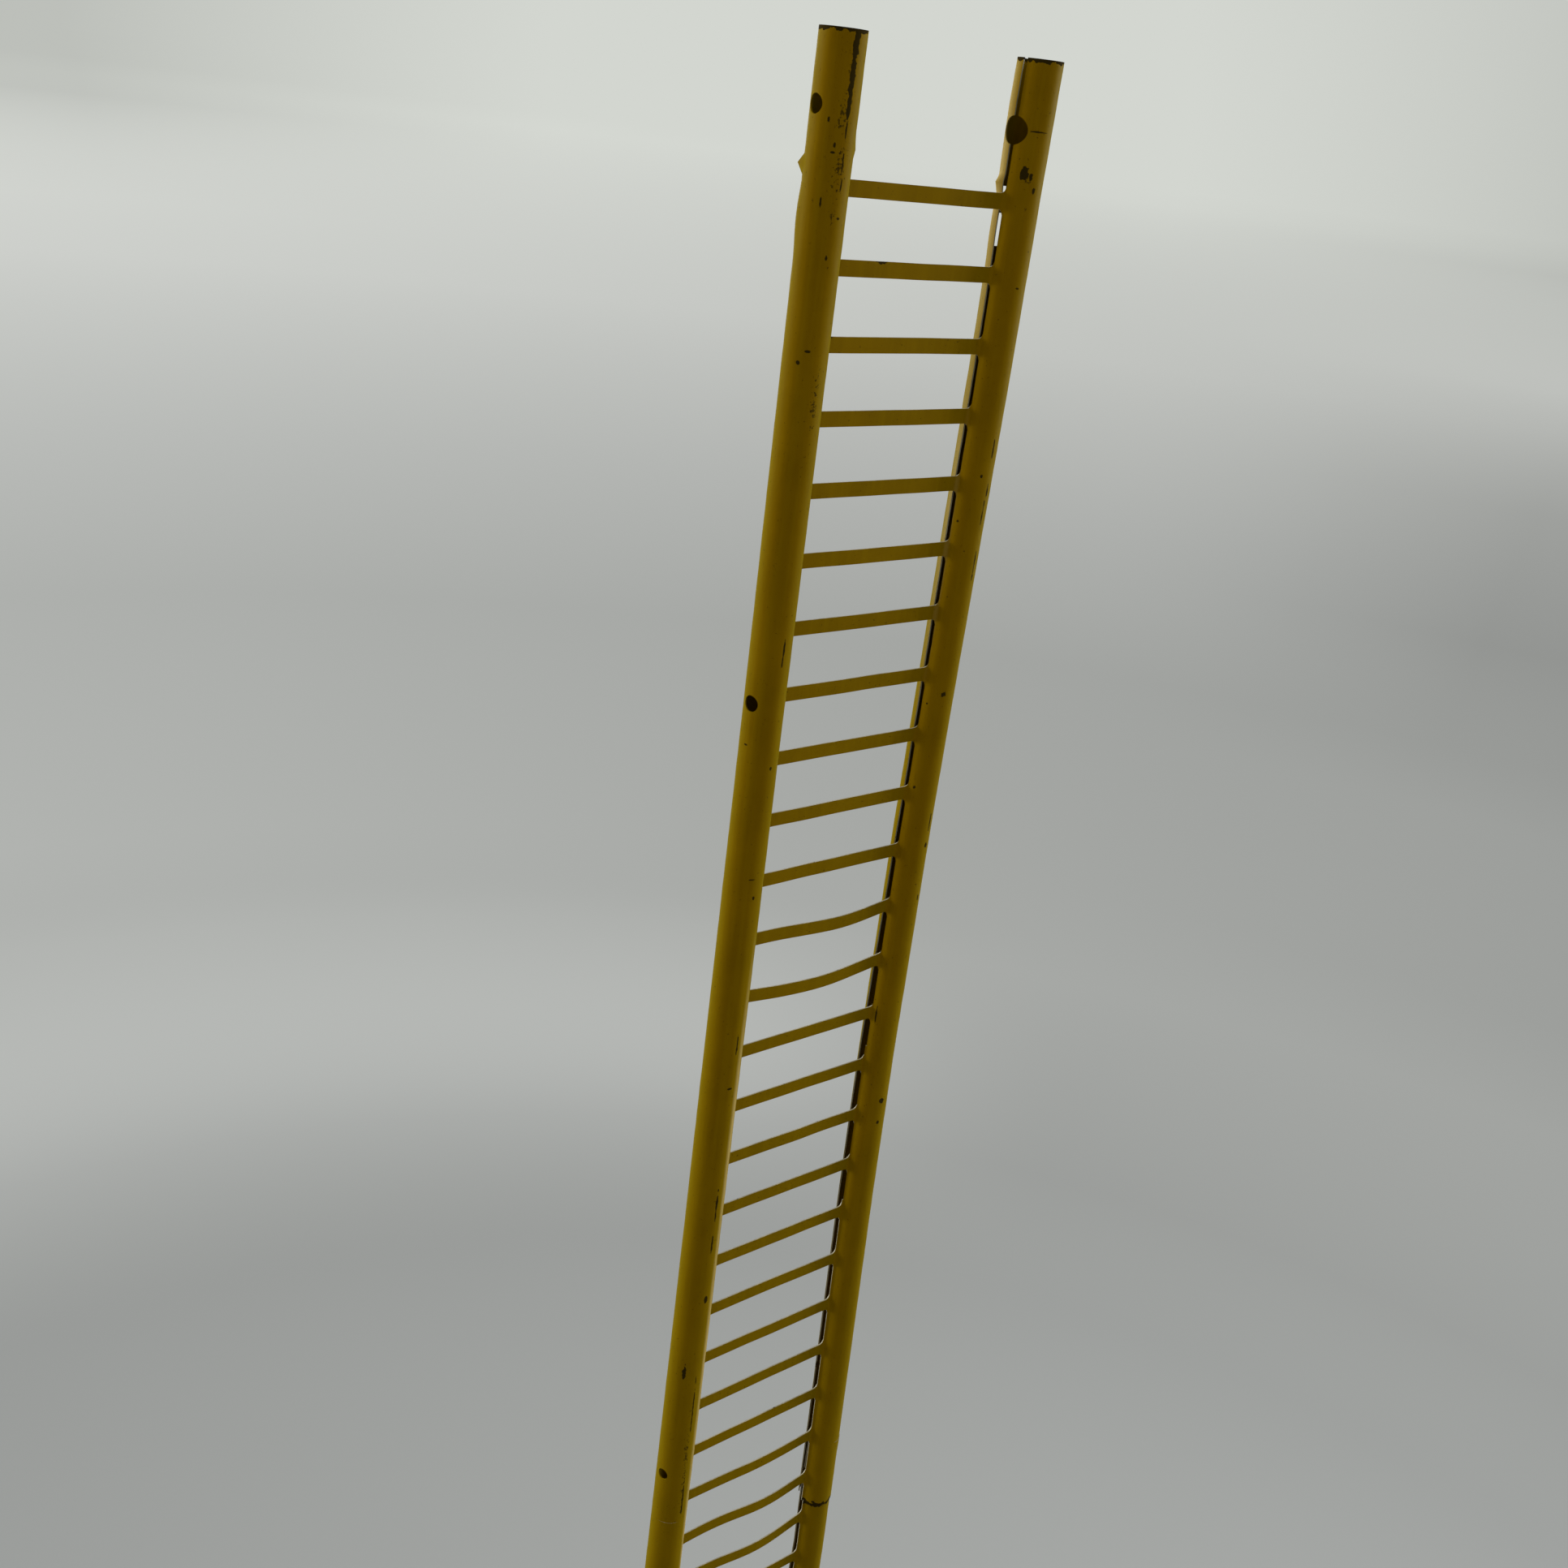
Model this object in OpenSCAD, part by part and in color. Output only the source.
// Climbing fireman toy: a two-section tinplate ladder on a pressed base, and a clockwork
// fireman whose arms and legs work in turn as he goes up the rungs.
// X runs along the rungs, Y from the climber to the ladder, Z up. Origin: middle of the base, on the table.

/* [Ladder] */
// Distance between one rung and the next
pitch = 11; // [9:0.5:13]
// Distance between the axes of the two rails
rail_gap = 38; // [36:1:42]
// Outer radius of a rail tube
rail_r = 3.5; // [3.3:0.1:3.8]
// Thickness of the tinplate
tin = 0.3; // [0.25:0.05:0.35]
// Height of a rung strip
rung_w = 2.4; // [2:0.1:3]
// Rungs in one section
rung_count = 24; // [12:2:24]
// Radius of the cross holes in the rails
hole_r = 1.42; // [1:0.1:1.6]
// Turn of the open seam in a rail
seam_angle = 14; // [8:1:20]

/* [Base] */
// Width of the base
base_w = 110; // [100:1:140]
// Depth of the base
base_d = 124; // [116:1:150]
// Height of the raised step that carries the ladder
base_h = 15; // [12:1:20]
// Distance of the ladder behind the middle of the base
ladder_y = 30; // [25:1:35]

/* [Fireman] */
// Distance from the climber's shoulders to the back face of the rungs
reach = 49.4; // [49:0.1:50]
// Height of the shoulder shaft above the hip shaft
trunk = 52; // [51:0.5:54]
// Rung, counted from the foot of the ladder, that the boots stand over
boot_rung = 1; // [1:1:3]

/* [Clockwork] */
// Points of the escape star
escape_teeth = 12; // [10:1:14]
// Throw of the crank pins
crank_throw = 4.5; // [4:0.1:4.6]
// Play between a turning shaft and its hole, on the radius
play = 0.05; // [0.03:0.01:0.08]

/* [Hidden] */
$fn = 48;

// Ladder heights: a section's own zero is the middle of its first rung
rail_x = rail_gap / 2;
neck_r = rail_r - 0.2;
socket_r = rail_r + 0.15;
stub_up = 1.86 * pitch;
foot_down = (rung_count - 0.75) * pitch;
neck_end = 8;
neck_blend_end = -5;
socket_len = 13;
post_flange_t = 1;
post_len = 11;
ladder_foot_z = base_h + post_flange_t;
lower_first_z = ladder_foot_z + foot_down;
upper_first_z = lower_first_z + rung_count * pitch;
lowest_rung_z = ladder_foot_z + pitch / 4;
rung_half = rail_x - rail_r + 0.12;
top_hole_z = 0.96 * pitch;
middle_hole_z = -7.05 * pitch;
low_hole_z = -21.15 * pitch;

// Base
sheet = 0.5;
hem_h = 1;
hem_w = 3;
deck_z = 12.5;
plinth = [62, 26];
flange_r = 7;
rivet_offset = 5.4;

// Fireman: places below are measured from the hip shaft, at [0, figure_y, hip_z]
figure_y = ladder_y - reach;
boot_gap = 2.2;
tab_z = -75.6;
hip_z = lowest_rung_z + boot_rung * pitch + rung_w / 2 + boot_gap - tab_z;
hook_rung = boot_rung + 14;
hook_gap = 0.4;
hook_z = lowest_rung_z + hook_rung * pitch + rung_w / 2 + hook_gap - hip_z - trunk;
shell = 0.6;

// Train: arbors in the plates, each as [y, z], with the direction from each arbor to the next
function polar(r, a) = [r * cos(a), r * sin(a)];
function mesh_gap(a, b) = tooth_module * (a + b) / 2;
tooth_module = 0.5;
great_teeth = 36;
second_pinion_teeth = 9;
second_teeth = 30;
crank_pinion_teeth = 10;
crank_teeth = 24;
escape_pinion_teeth = 8;
train_a = 94;
train_b = 50;
train_c = 130;
verge_a = 75;
winding_at = [-3.5, 13];
second_at = winding_at + polar(mesh_gap(great_teeth, second_pinion_teeth), train_a);
crank_at = second_at + polar(mesh_gap(second_teeth, crank_pinion_teeth), train_b);
escape_at = crank_at + polar(mesh_gap(crank_teeth, escape_pinion_teeth), train_c);
star_r = 5.3;
verge_at = escape_at + polar(star_r + 2.1, verge_a);
shoulder_at = [0, trunk];
hip_at = [0, 0];
stop_at = [-9.2, 40.5];
pillars_at = [[9.4, 8], [-9.4, 0.5], [9.4, 38], [-7.2, 47.6]];

plate_x = 10;
plate_t = 0.8;
arbor_r = 1;
winding_r = 1.6;
verge_r = 0.9;
shaft_r = 2;
boss_r = 3;
pillar_r = 1.5;
tenon_r = 0.8;
crank_x = plate_x + plate_t + 0.4;
crank_t = 1;
lever_t = 1;
arm_lever_x = 13.2;
leg_lever_x = 15.2;
arm_inner_x = 22.4;
leg_inner_x = 11.2;
pin_r = 0.9;

// The cranks swing each slotted lever by the same angle to both sides of its middle
function reach_to(a, b) = norm(b - a);
function heading(a, b) = atan2(b[1] - a[1], b[0] - a[0]);
arm_swing = asin(crank_throw / reach_to(shoulder_at, crank_at));
leg_swing = asin(crank_throw / reach_to(hip_at, crank_at));

// Coat: half width and half depth at each height
coat_chest = [21.6, 17.2, 38];
coat_waist = [20.2, 16.2, 18];
coat_hem = [22.8, 18.4, -9];
shoulder_ball = [12.5, 9, trunk - 1.5];
neck_z = trunk + 2;
brim_z = 83.5;

enamel_yellow = "#d7a514";
base_red = "#9c231b";
coat_blue = "#26303f";
helmet_red = "#b3261e";
skin = "#d9a17c";
steel = "#8d9196";
brass = "#b7933f";

module at_figure() translate([0, figure_y, hip_z]) children();

// A cylinder along X from x0 to x1 about the axis at = [y, z]
module bar(r, x0, x1, at = [0, 0]) {
    translate([min(x0, x1), at[0], at[1]]) rotate([90, 0, 90]) cylinder(r = r, h = abs(x1 - x0));
}

// A flat piece in the YZ plane between x0 and x0 + t; its own axes are Y and Z
module flat(x0, t, at = [0, 0], turn = 0) {
    translate([x0, at[0], at[1]]) rotate([90, 0, 90]) rotate(turn) linear_extrude(t) children();
}

module ball(at, r) translate(at) sphere(r = r, $fn = r > 3 ? 20 : 12);

module limb(from, to, r0, r1) hull() {
    ball(from, r0);
    ball(to, r1);
}

module strut(a, b, w) {
    translate(a) rotate(atan2(b[1] - a[1], b[0] - a[0])) translate([0, -w / 2]) square([norm(b - a), w]);
}

module swung(at, angle) translate([0, at[0], at[1]]) rotate([angle, 0, 0]) children();

module rounded(w, d, r) {
    square([w - 2 * r, d], center = true);
    square([w, d - 2 * r], center = true);
    for (sx = [-1, 1], sy = [-1, 1]) translate([sx * (w / 2 - r), sy * (d / 2 - r)]) circle(r = r);
}

// Base and the posts that carry the ladder

module base_plate() color(base_red) difference() {
    union() {
        linear_extrude(hem_h) rounded(base_w, base_d, 10);
        linear_extrude(deck_z) rounded(base_w - 2 * hem_w, base_d - 2 * hem_w, 8);
        translate([0, ladder_y, 0]) linear_extrude(base_h) rounded(plinth[0], plinth[1], 6);
    }
    translate([0, 0, -1]) linear_extrude(deck_z - sheet + 1)
        rounded(base_w - 2 * hem_w - 2 * sheet, base_d - 2 * hem_w - 2 * sheet, 7.5);
    translate([0, ladder_y, -1]) linear_extrude(base_h - sheet + 1)
        rounded(plinth[0] - 2 * sheet, plinth[1] - 2 * sheet, 5.5);
    for (side = [-1, 1], dy = [-1, 1])
        translate([side * rail_x, ladder_y + dy * rivet_offset, base_h - 1]) cylinder(r = tenon_r, h = 2);
}

module post(side) color(steel) translate([side * rail_x, ladder_y, base_h]) difference() {
    union() {
        cylinder(r = flange_r, h = post_flange_t);
        cylinder(r = neck_r, h = post_flange_t + post_len - 1);
        translate([0, 0, post_flange_t + post_len - 1]) cylinder(r1 = neck_r, r2 = neck_r - 0.7, h = 1);
    }
    translate([0, 0, -1]) cylinder(r = neck_r - 2 * tin - 0.4, h = post_len + 3);
    for (dy = [-1, 1]) translate([0, dy * rivet_offset, -1]) cylinder(r = tenon_r, h = 3);
}

module left_post() post(-1);
module right_post() post(1);

module post_rivets() color(steel)
    for (side = [-1, 1], dy = [-1, 1]) translate([side * rail_x, ladder_y + dy * rivet_offset, 0]) {
        translate([0, 0, base_h - sheet - 0.6]) cylinder(r = 1.5, h = 0.6);
        translate([0, 0, base_h - sheet]) cylinder(r = tenon_r, h = sheet + post_flange_t);
        translate([0, 0, base_h + post_flange_t]) cylinder(r1 = 1.3, r2 = 0.8, h = 0.6);
    }

// One rail: a rolled tube with an open seam on its inner side, just behind the rungs.
// Its top is rolled tighter to enter the foot of the next section, which is opened to take it.

module rail(side) {
    outline = [
        [neck_r - tin, stub_up], [neck_r, stub_up], [neck_r, neck_end], [rail_r, neck_blend_end],
        [rail_r, 2 + socket_len - foot_down], [socket_r, socket_len - foot_down], [socket_r, -foot_down],
        [neck_r + play, -foot_down], [neck_r + play, socket_len - foot_down],
        [rail_r - tin, 2 + socket_len - foot_down], [rail_r - tin, neck_blend_end], [neck_r - tin, neck_end]
    ];
    seam_start = side > 0 ? 180 : seam_angle;
    translate([side * rail_x, 0, 0]) difference() {
        rotate([0, 0, seam_start]) rotate_extrude(angle = 360 - seam_angle) polygon(outline);
        translate([-rail_r - 1, 0, top_hole_z]) rotate([0, 90, 0]) cylinder(r = hole_r, h = rail_r + 1);
        if (side < 0)
            for (z = [middle_hole_z, low_hole_z])
                translate([-rail_r - 1, 0, z]) rotate([0, 90, 0]) cylinder(r = hole_r, h = rail_r + 1);
    }
}

module rungs()
    for (i = [0:rung_count - 1]) translate([-rung_half, -tin, -i * pitch - rung_w / 2])
        cube([2 * rung_half, tin, rung_w]);

module at_section(z) color(enamel_yellow) translate([0, ladder_y, z]) children();

module lower_left_rail() at_section(lower_first_z) rail(-1);
module lower_right_rail() at_section(lower_first_z) rail(1);
module lower_rungs() at_section(lower_first_z) rungs();
module upper_left_rail() at_section(upper_first_z) rail(-1);
module upper_right_rail() at_section(upper_first_z) rail(1);
module upper_rungs() at_section(upper_first_z) rungs();

// Coat: two pressed halves that meet at the sides

module oval(size, less) translate([0, 0, size[2]])
    linear_extrude(0.2) scale([size[0] - less, size[1] - less]) circle(r = 1, $fn = 40);

module coat_form(less, drop) {
    hull() {
        for (side = [-1, 1]) translate([side * shoulder_ball[0], 0, shoulder_ball[2]])
            sphere(r = shoulder_ball[1] - less, $fn = 28);
        oval(coat_chest, less);
        oval(coat_waist, less);
    }
    hull() {
        oval(coat_waist, less);
        translate([0, 0, -drop]) oval(coat_hem, less);
    }
}

module coat_trim() {
    hull() {
        oval([coat_waist[0] + 0.9, coat_waist[1] + 0.9, coat_waist[2] - 2], 0);
        oval([coat_waist[0] + 0.9, coat_waist[1] + 0.9, coat_waist[2] + 2], 0);
    }
    hull() {
        oval([9.5, 8.5, trunk + 4], 0);
        oval([7.6, 7.2, trunk + 9], 0);
    }
}

module coat_half(side) difference() {
    union() {
        coat_form(0, 0);
        coat_trim();
    }
    coat_form(shell, 1);
    translate([0, 0, trunk]) cylinder(r = 6, h = 20);
    translate([-40, side > 0 ? -40 : 0, -40]) cube([80, 40, 120]);
    bar(boss_r + 0.5, -30, 30, shoulder_at);
    bar(winding_r + 0.6, -30, 0, winding_at);
    translate([-7.4, -30, stop_at[1] - 5]) cube([2.8, 20, 9]);
}

module coat_front() color(coat_blue) at_figure() {
    coat_half(1);
    for (z = [24, 30, 36, 42], side = [-1, 1])
        translate([side * 5.5, z > 38 ? 12.8 : 13.3 + z * 0.04, z]) rotate([-90, 0, 0]) cylinder(r = 1.3, h = 2.2);
}

module coat_back() color(coat_blue) at_figure() coat_half(-1);

module head() color(skin) at_figure() {
    translate([0, 0, neck_z]) cylinder(r = 5.9, h = 12);
    hull() {
        ball([0, -1.5, 79], 11.5);
        ball([0, 1.5, 77], 10.5);
        ball([0, 4.5, 69.5], 6.5);
    }
    limb([0, 11, 77], [0, 13.2, 73.6], 1, 1.7);
    for (side = [-1, 1]) {
        limb([side * 11, -0.5, 78], [side * 10.6, 0.2, 73.8], 1.8, 1.3);
        limb([side * 4.4, 11.2, 79.6], [side * 2.4, 11.9, 79.8], 0.9, 0.9);
    }
}

module helmet() color(helmet_red) at_figure() difference() {
    union() {
        hull() {
            translate([0, -1, brim_z - 0.9]) scale([15, 16.5]) linear_extrude(0.4) circle(r = 1, $fn = 40);
            translate([0, -1, brim_z + 9]) scale([13, 14]) linear_extrude(0.4) circle(r = 1, $fn = 40);
            ball([0, -1, brim_z + 12], 7);
        }
        hull() {
            translate([0, 0, brim_z - 1]) scale([17.5, 19]) linear_extrude(0.7) circle(r = 1, $fn = 40);
            translate([0, -19, brim_z - 5]) scale([9, 7]) linear_extrude(0.7) circle(r = 1, $fn = 32);
        }
        limb([0, 13, brim_z + 5], [0, 5, brim_z + 18], 1, 1.1);
        limb([0, 5, brim_z + 18], [0, -6, brim_z + 18.4], 1.1, 1.1);
        limb([0, -6, brim_z + 18.4], [0, -15, brim_z + 6], 1.1, 1);
        for (side = [-1, 1]) {
            limb([side * 14, -1, brim_z + 2], [side * 9.6, -1, brim_z + 13], 0.7, 0.7);
            limb([side * 9.6, -1, brim_z + 13], [0, -1, brim_z + 18.6], 0.7, 0.7);
        }
    }
    hull() {
        translate([0, -1, brim_z - 8]) scale([14.2, 15.7]) linear_extrude(0.4) circle(r = 1, $fn = 40);
        translate([0, -1, brim_z]) scale([14.2, 15.7]) linear_extrude(0.4) circle(r = 1, $fn = 40);
        ball([0, -1, brim_z + 8], 9);
    }
}

module helmet_shield() color(brass) at_figure()
    translate([0, 13.8, brim_z + 8]) rotate([78, 0, 0]) linear_extrude(0.8)
        polygon([[-4, 4.5], [0, 5.6], [4, 4.5], [4.4, 0], [2.6, -4], [0, -5.4], [-2.6, -4], [-4.4, 0]]);

// Arms: drawn about the shoulder with the hook over its rung, right side; turned up while they reach

module arm() difference() {
    union() {
        hull() {
            bar(8.2, arm_inner_x, 24.5);
            ball([26, 0.6, 0], 6.6);
        }
        limb([26, 1, 0], [27.6, 22, -8], 6.4, 5.6);
        limb([27.6, 22, -8], [16.4, 40, 13], 5.6, 4.4);
        limb([20, 34.4, 6.4], [16.4, 40, 13], 5.7, 5.3);
        limb([15.4, 41, 15], [11.6, 43.4, 20], 4, 4.1);
        for (finger = [0:3])
            limb([8 + finger * 2.3, 43.5, 25.2], [7.6 + finger * 2.3, 45.8, 21.8], 1.5, 1.4);
        limb([14.6, 41.6, 19], [14, 45, 22.6], 1.7, 1.5);
    }
    bar(12, 15, arm_inner_x);
    bar(boss_r, 20, 27.6);
    bar(shaft_r + 1.9, 27.6, 40);
}

module hand_hook() {
    x0 = 8.4;
    w = 4;
    flat(x0, w) {
        translate([41, hook_z]) square([11, 0.8]);
        translate([51.2, hook_z - 3]) square([0.8, 3.8]);
    }
}

module slotted_lever(length, middle) {
    difference() {
        union() {
            circle(r = 4.2);
            translate([0, -2.6]) square([length - 2.6, 5.2]);
            translate([length - 2.6, 0]) circle(r = 2.6);
        }
        translate([middle - crank_throw * 0.4 - pin_r, -pin_r - 0.15])
            square([crank_throw * 0.8 + 2 * pin_r, 2 * pin_r + 0.3]);
    }
}

module arm_lever() difference() {
    union() {
        flat(arm_lever_x, lever_t, [0, 0], heading(shoulder_at, crank_at) - arm_swing)
            slotted_lever(reach_to(shoulder_at, crank_at) + 6, reach_to(shoulder_at, crank_at));
        bar(boss_r, arm_lever_x, 27.6);
    }
    bar(shaft_r + play, arm_lever_x - 1, 30);
}

module left_side() mirror([1, 0, 0]) children();
module arm_low() at_figure() swung(shoulder_at, 0) children();
module arm_high() at_figure() swung(shoulder_at, 2 * arm_swing) left_side() children();

module left_arm() color(coat_blue) arm_high() arm();
module right_arm() color(coat_blue) arm_low() arm();
module left_hand_hook() color(steel) arm_high() hand_hook();
module right_hand_hook() color(steel) arm_low() hand_hook();
module left_arm_lever() color(steel) arm_high() arm_lever();
module right_arm_lever() color(steel) arm_low() arm_lever();

// Legs: drawn about the hip with the boot forward over its rung, right side; swung back while they lift

module leg() difference() {
    union() {
        hull() {
            bar(5.4, 11.4, 15);
            ball([13.2, 4.5, -11], 3.4);
        }
        limb([13, 6, -12], [12, 23, -31], 6.4, 5.8);
        limb([12, 23, -31], [10, 22.5, -58], 5.8, 4.6);
        limb([10.3, 23.2, -50], [9.8, 23.5, -68], 5.6, 5);
        limb([10.3, 23, -48], [10.3, 23, -49.5], 6, 6);
        limb([9.8, 22.5, -72], [9.5, 33, -73], 5.1, 4.6);
        limb([9.5, 30, -73.4], [9.5, 42.8, -74.2], 4.6, 4.2);
        hull() for (y = [22, 43]) translate([9.5, y, -79.6]) cylinder(r = 4.4, h = 2, $fn = 24);
        hull() for (y = [20.5, 24]) translate([9.5, y, -81.4]) cylinder(r = 4, h = 2.4, $fn = 24);
    }
    bar(10.2, 4, leg_inner_x);
    bar(boss_r + 0.2, 11, 16);
}

module boot_hook() {
    x0 = 7.5;
    w = 4;
    flat(x0, w) translate([40, tab_z]) square([11, 0.8]);
}

module leg_lever() {
    tall = reach_to(hip_at, crank_at);
    difference() {
        union() {
            flat(leg_lever_x, lever_t, [0, 0], heading(hip_at, crank_at) + leg_swing) {
                circle(r = 4.2);
                strut([0, 0], [9, -1.9], 3);
                translate([9, -1.9]) circle(r = 1.5);
                strut([9, -1.9], [16, -1.9], 3);
                translate([16, -1.9]) circle(r = 1.5);
                strut([16, -1.9], [tall - 5, 0], 3);
                difference() {
                    translate([tall - 6.5, -2.3]) square([10.9, 4.6]);
                    translate([tall - crank_throw * 0.4 - pin_r, -pin_r - 0.15])
                        square([crank_throw * 0.8 + 2 * pin_r, 2 * pin_r + 0.3]);
                }
            }
            bar(boss_r + 0.2, 11.4, leg_lever_x + lever_t);
        }
        bar(shaft_r + play, 10, 20);
    }
}

module leg_front() at_figure() swung(hip_at, 0) children();
module leg_rear() at_figure() swung(hip_at, -2 * leg_swing) left_side() children();

module left_leg() color(coat_blue) leg_rear() leg();
module right_leg() color(coat_blue) leg_front() leg();
module left_boot_hook() color(steel) leg_rear() boot_hook();
module right_boot_hook() color(steel) leg_front() boot_hook();
module left_leg_lever() color(steel) leg_rear() leg_lever();
module right_leg_lever() color(steel) leg_front() leg_lever();

// Clockwork frame

module plate(x0) at_figure() difference() {
    flat(x0, plate_t) polygon([
        [-9, -4], [9, -4], [11.2, 2], [11.2, 41], [8.6, 49], [5.6, 55.2],
        [-5.6, 55.2], [-8.6, 49], [-11.2, 41], [-11.2, 2]
    ]);
    bar(winding_r + play, x0 - 1, x0 + 2, winding_at);
    for (at = [second_at, crank_at, escape_at]) bar(arbor_r + play, x0 - 1, x0 + 2, at);
    for (at = [verge_at, stop_at]) bar(verge_r + play, x0 - 1, x0 + 2, at);
    for (at = [shoulder_at, hip_at]) bar(shaft_r, x0 - 1, x0 + 2, at);
    for (at = pillars_at) bar(tenon_r, x0 - 1, x0 + 2, at);
}

module left_plate() color(steel) plate(-plate_x - plate_t);
module right_plate() color(steel) plate(plate_x);

module frame_pillars() color(steel) at_figure() for (at = pillars_at) {
    bar(pillar_r, -plate_x, plate_x, at);
    bar(tenon_r, -plate_x - plate_t - 0.3, plate_x + plate_t + 0.3, at);
}

module headed_shaft(end, at) {
    bar(shaft_r, -end, end, at);
    for (side = [-1, 1]) bar(shaft_r + 1.3, side * end, side * (end + 1.1), at);
}

module shoulder_shaft() color(steel) at_figure() headed_shaft(27.9, shoulder_at);
module hip_shaft() color(steel) at_figure() headed_shaft(16.8, hip_at);

// Power: a spiral mainspring round the winding arbor, with a ratchet, click and great wheel

function spiral(r0, r1, turns, n) =
    [for (i = [0:n]) polar(r0 + (r1 - r0) * i / n, 360 * turns * i / n)];

module mainspring() color(steel) at_figure() {
    spring_t = 0.35;
    turns = 5;
    steps = 110;
    inner = spiral(2.6, 8.1, turns, steps);
    outer = spiral(2.6 + spring_t, 8.1 + spring_t, turns, steps);
    tail_turn = heading(winding_at, pillars_at[0]);
    tail_end = reach_to(winding_at, pillars_at[0]) - pillar_r - 0.2;
    tail = [[8.1, spring_t], [tail_end, spring_t], [tail_end, 0]];
    flat(-8.4, 6, winding_at, tail_turn) polygon(concat(inner, tail, [for (i = [steps:-1:0]) outer[i]]));
}

module winding_arbor() color(steel) at_figure() {
    bar(winding_r, -33, 11.4, winding_at);
    flat(-8.4, 6, winding_at) translate([1, -0.4]) square([1.3, 0.8]);
}

function saw_points(teeth, tip_r, root_r) = [for (i = [0:teeth - 1]) each
    [polar(tip_r, i * 360 / teeth), polar(root_r, (i + 0.9) * 360 / teeth)]];

module ratchet_wheel() color(steel) at_figure() difference() {
    flat(3.4, 1, winding_at) polygon(saw_points(16, 4.6, 3.8));
    bar(winding_r, 3, 5, winding_at);
}

module winding_key() color(brass) at_figure() difference() {
    union() {
        bar(3, -34, -23.6, winding_at);
        translate([0, winding_at[0] + 0.6, winding_at[1]]) rotate([90, 0, 0]) linear_extrude(1.2) {
            for (side = [-1, 1]) translate([-31, side * 6.4]) circle(r = 4.8);
            translate([-34.5, -7]) square([7, 14]);
        }
    }
    bar(winding_r, -33, -20, winding_at);
}

// A wheel's teeth as points: wide at the root, two fifths of the pitch at the pitch circle
function tooth_points(teeth) = let (step = 360 / teeth, r = tooth_module * teeth / 2)
    [for (i = [0:teeth - 1], p = [[-1.15, -0.27], [0, -0.2], [0.85, -0.09], [0.85, 0.09], [0, 0.2], [-1.15, 0.27]])
        polar(r + p[0] * tooth_module, (i + p[1]) * step)];

// phase: direction at which a tooth stands; a gap stands there when half is 0.5
module wheel(teeth, bore, x0, t, at, phase, half = 0) difference() {
    flat(x0, t, at, phase + half * 360 / teeth) polygon(tooth_points(teeth));
    if (bore > 0) bar(bore, x0 - 1, x0 + t + 1, at);
}

click_at = winding_at + polar(6.6, 210);
click_tip = polar(5.5, 255);

module great_wheel() color(brass) at_figure() difference() {
    wheel(great_teeth, winding_r + play, 2, 1, winding_at, train_a);
    bar(tenon_r + play, 1, 4, click_at);
}

module click_spring() color(steel) at_figure() translate([3, winding_at[0], winding_at[1]]) rotate([90, 0, 90]) {
    rotate(140) rotate_extrude(angle = 95) translate([7.95, 0.4]) square([0.25, 0.6]);
    translate(polar(7.4, 138)) cylinder(r = 0.9, h = 1);
}

module click() color(steel) at_figure() {
    flat(3.4, 0.9, winding_at) {
        translate(polar(6.6, 210)) circle(r = 1.2);
        strut(polar(6.6, 210), click_tip, 1.3);
    }
    bar(tenon_r, 1.9, 3.4, click_at);
}

module second_pinion() color(steel) at_figure() {
    bar(arbor_r, -10.6, 10.6, second_at);
    wheel(second_pinion_teeth, 0, 1, 3.4, second_at, train_a + 180, 0.5);
}

module second_wheel() color(brass) at_figure()
    wheel(second_teeth, arbor_r, 6, 1, second_at, train_b);

module crank_pinion() color(steel) at_figure() {
    bar(arbor_r, -crank_x - crank_t, crank_x + crank_t, crank_at);
    wheel(crank_pinion_teeth, 0, 5.2, 2.6, crank_at, train_b + 180, 0.5);
}

module crank_wheel() color(brass) at_figure()
    wheel(crank_teeth, arbor_r, -1, 1, crank_at, train_c);

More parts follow.
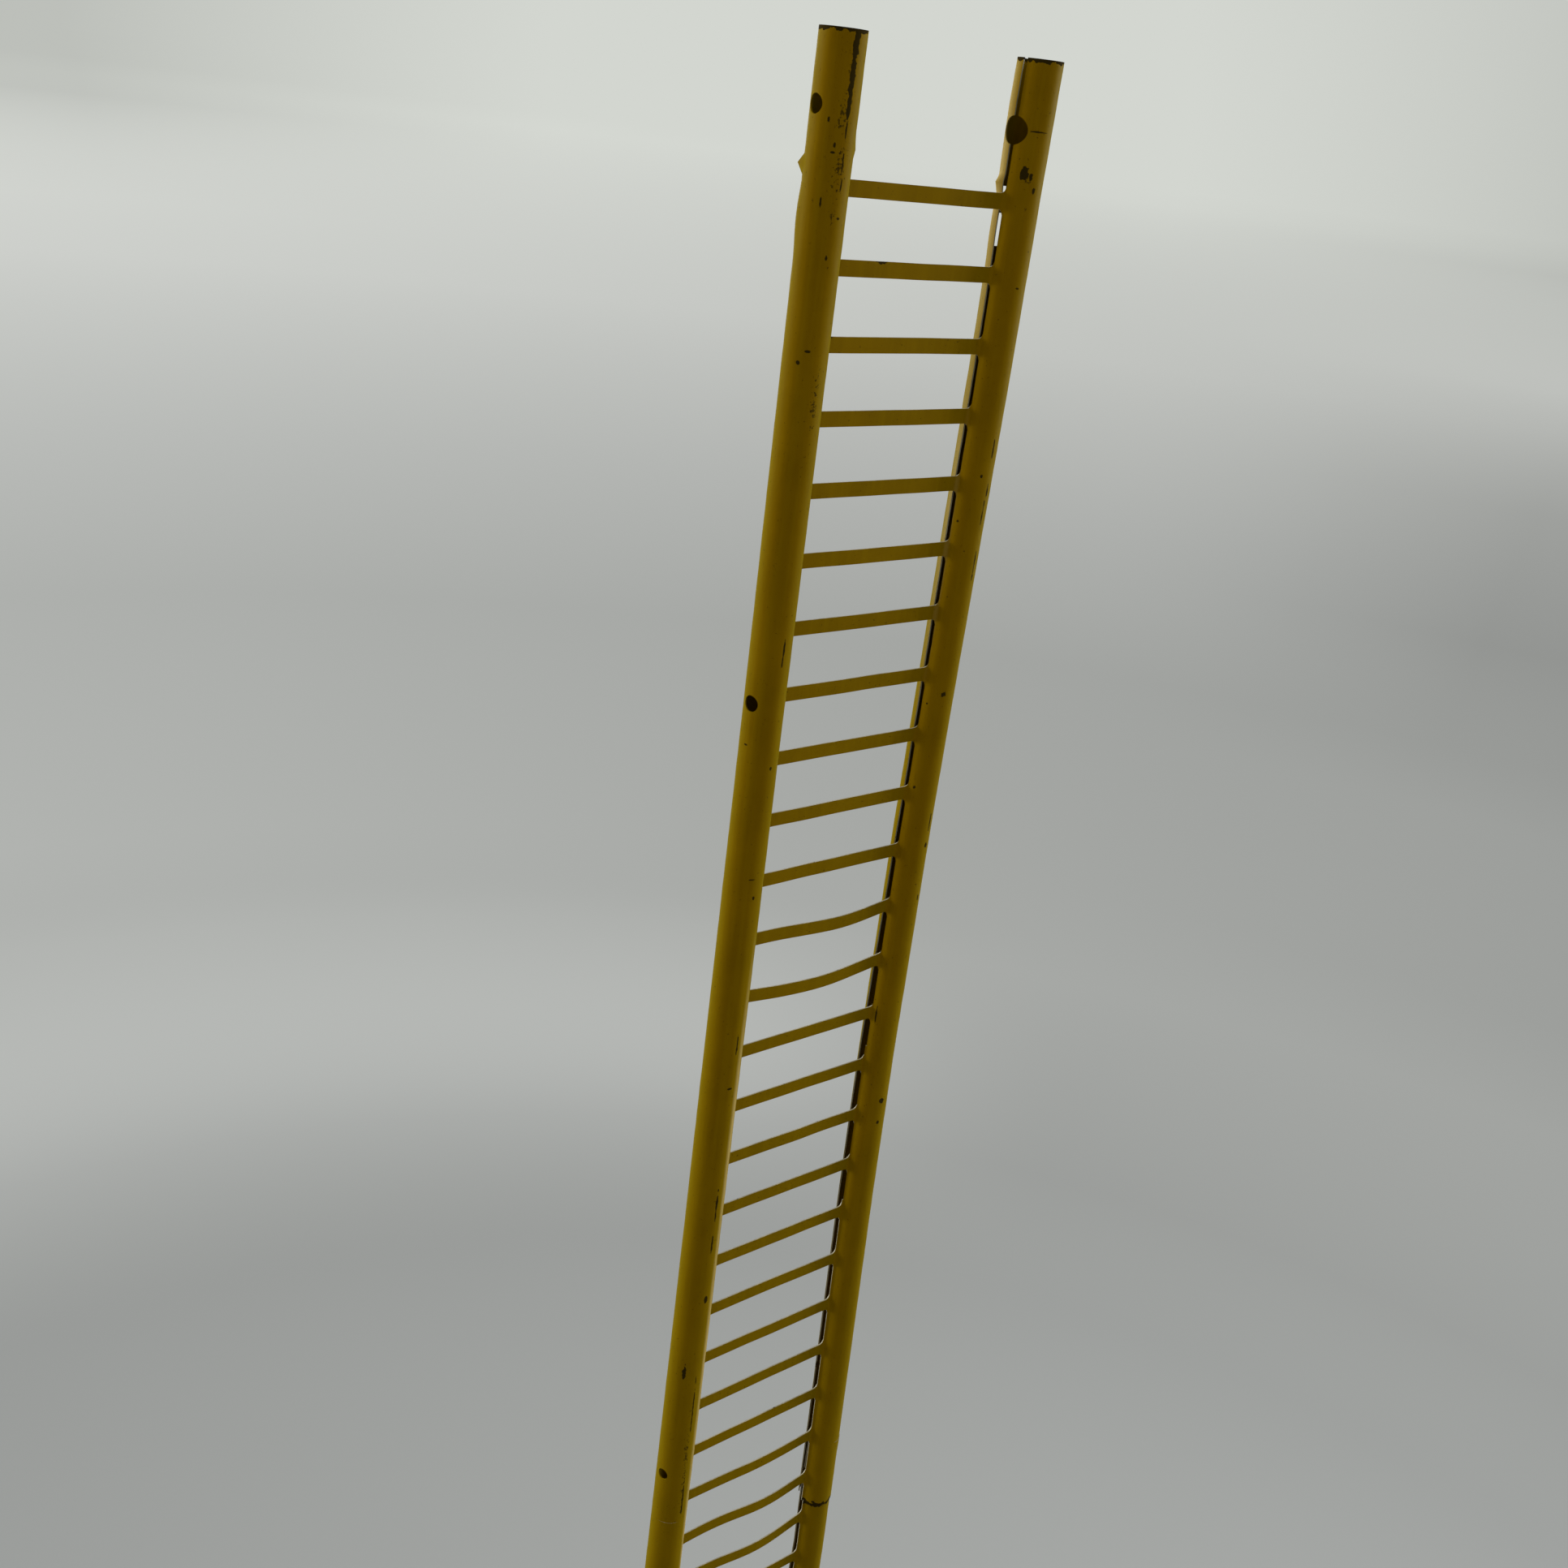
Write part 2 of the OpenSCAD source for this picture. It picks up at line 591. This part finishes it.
module crank(side) at_figure() {
    difference() {
        bar(5.9, side * crank_x, side * (crank_x + crank_t), crank_at);
        bar(arbor_r, side * (crank_x - 1), side * (crank_x + 2), crank_at);
    }
    bar(pin_r, side * (crank_x + crank_t), side * (arm_lever_x - 0.2), crank_at + [-side * crank_throw, 0]);
}

module left_crank() color(steel) crank(-1);
module right_crank() color(steel) crank(1);

module escape_pinion() color(steel) at_figure() {
    bar(arbor_r, -10.6, 10.6, escape_at);
    wheel(escape_pinion_teeth, 0, -2, 3, escape_at, train_c + 180, 0.5);
}

module escape_wheel() color(brass) at_figure() difference() {
    flat(3.5, 0.8, escape_at) polygon([for (i = [0:escape_teeth - 1]) each
        [polar(star_r, i * 360 / escape_teeth), polar(star_r - 1.6, (i + 0.5) * 360 / escape_teeth)]]);
    bar(arbor_r, 3, 5, escape_at);
}

module verge() color(steel) at_figure() {
    bar(verge_r, -10.6, 10.6, verge_at);
    flat(3.5, 0.8, escape_at) {
        translate(polar(star_r + 2.1, verge_a)) circle(r = 1.5);
        for (side = [-1, 1]) {
            strut(polar(star_r + 2.1, verge_a), polar(star_r + 1.3, verge_a + side * 38), 1);
            translate(polar(star_r + 1.1, verge_a + side * 38)) circle(r = 0.5);
        }
    }
}

module stop_lever() color(steel) at_figure() {
    flat(-6.4, 0.8) {
        translate(stop_at) circle(r = 1.6);
        strut(stop_at, [-20.5, 42.5], 1.4);
        strut(stop_at, [-6.8, 43.6], 1.4);
    }
    bar(verge_r, -10.6, -6.4, stop_at);
    ball([-6, -20.5, 42.5], 1.5);
}

base_plate();
left_post();
right_post();
post_rivets();
lower_left_rail();
lower_right_rail();
lower_rungs();
upper_left_rail();
upper_right_rail();
upper_rungs();
coat_front();
coat_back();
head();
helmet();
helmet_shield();
left_plate();
right_plate();
frame_pillars();
shoulder_shaft();
hip_shaft();
mainspring();
left_arm();
right_arm();
left_hand_hook();
right_hand_hook();
left_arm_lever();
right_arm_lever();
left_leg();
right_leg();
left_boot_hook();
right_boot_hook();
left_leg_lever();
right_leg_lever();
winding_arbor();
ratchet_wheel();
winding_key();
great_wheel();
click_spring();
click();
second_wheel();
second_pinion();
crank_wheel();
crank_pinion();
left_crank();
right_crank();
escape_wheel();
escape_pinion();
verge();
stop_lever();
